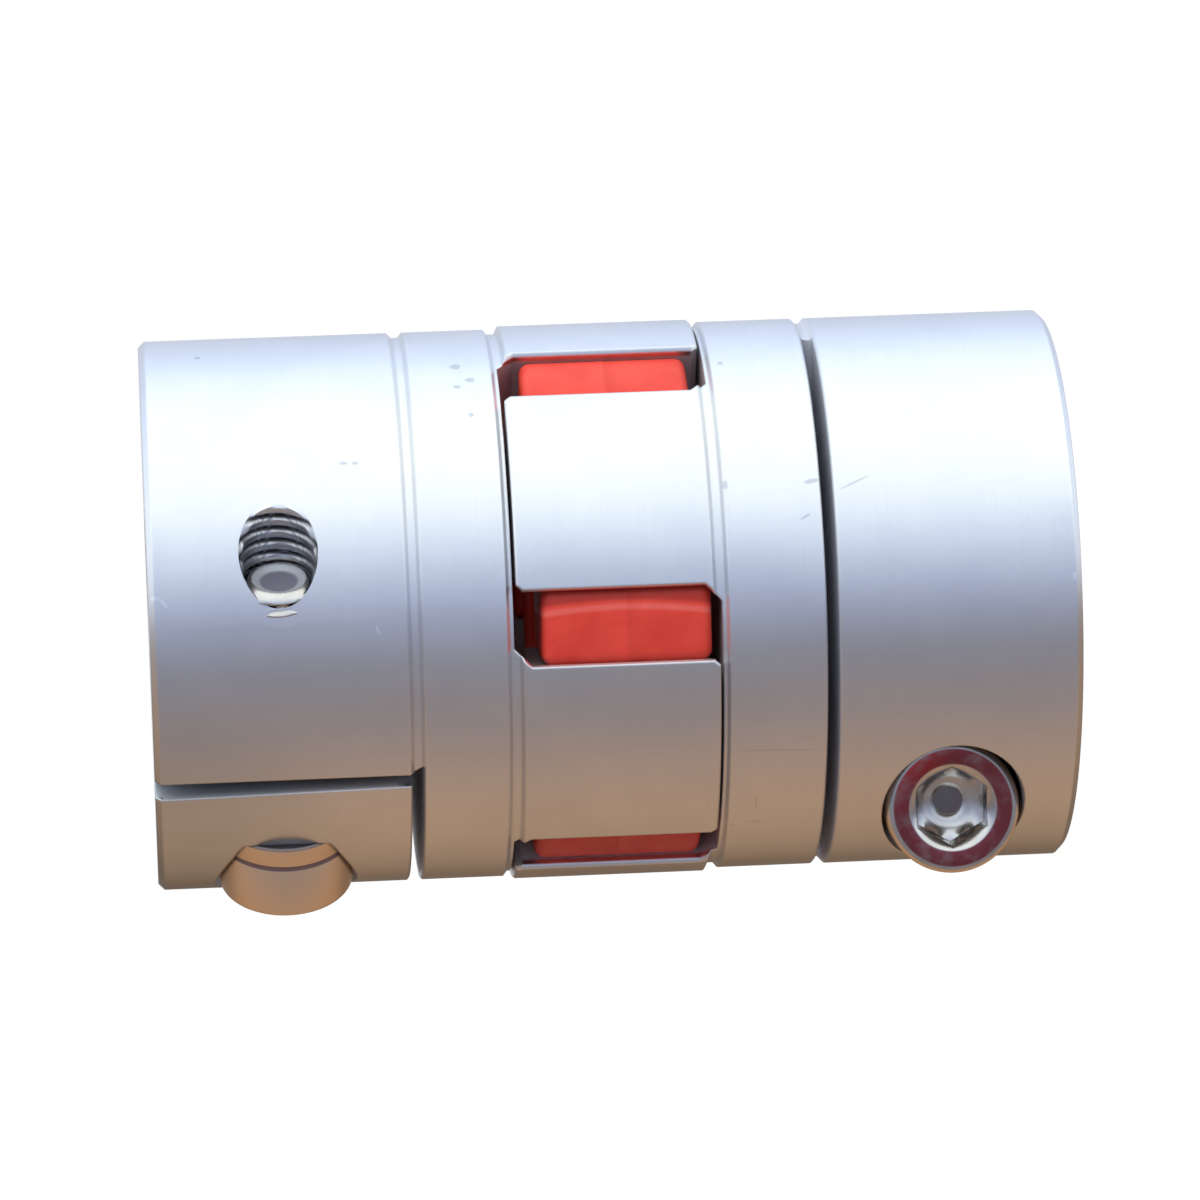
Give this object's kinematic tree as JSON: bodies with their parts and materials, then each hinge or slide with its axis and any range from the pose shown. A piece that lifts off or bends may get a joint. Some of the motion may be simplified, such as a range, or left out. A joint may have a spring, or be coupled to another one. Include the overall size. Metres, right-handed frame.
{
  "type": "jaw coupling",
  "caption": "Clamp-type jaw coupling: slotted aluminium hubs with screws and interlocking jaws around a soft red spider, to join shafts end to end.",
  "frame": {"origin": "centre of the lower hub's end face, on the axis of the shafts", "axes": "+Z along the axis of the shafts from the lower hub to the upper hub, -Y towards the side the picture shows, +X towards the picture's top"},
  "size_m": [0.0423, 0.0408, 0.066],
  "materials": {
    "hub_aluminium": "satin anodised, fine turning lines",
    "spider_elastomer": "semi-matt moulded",
    "screw_steel": "bright, worn"
  },
  "bodies": {
    "root": {"lower_hub": "hub_aluminium", "upper_hub": "hub_aluminium", "spider": "spider_elastomer", "lower_clamp_screw": "screw_steel", "upper_clamp_screw": "screw_steel"}
  },
  "joints": []
}
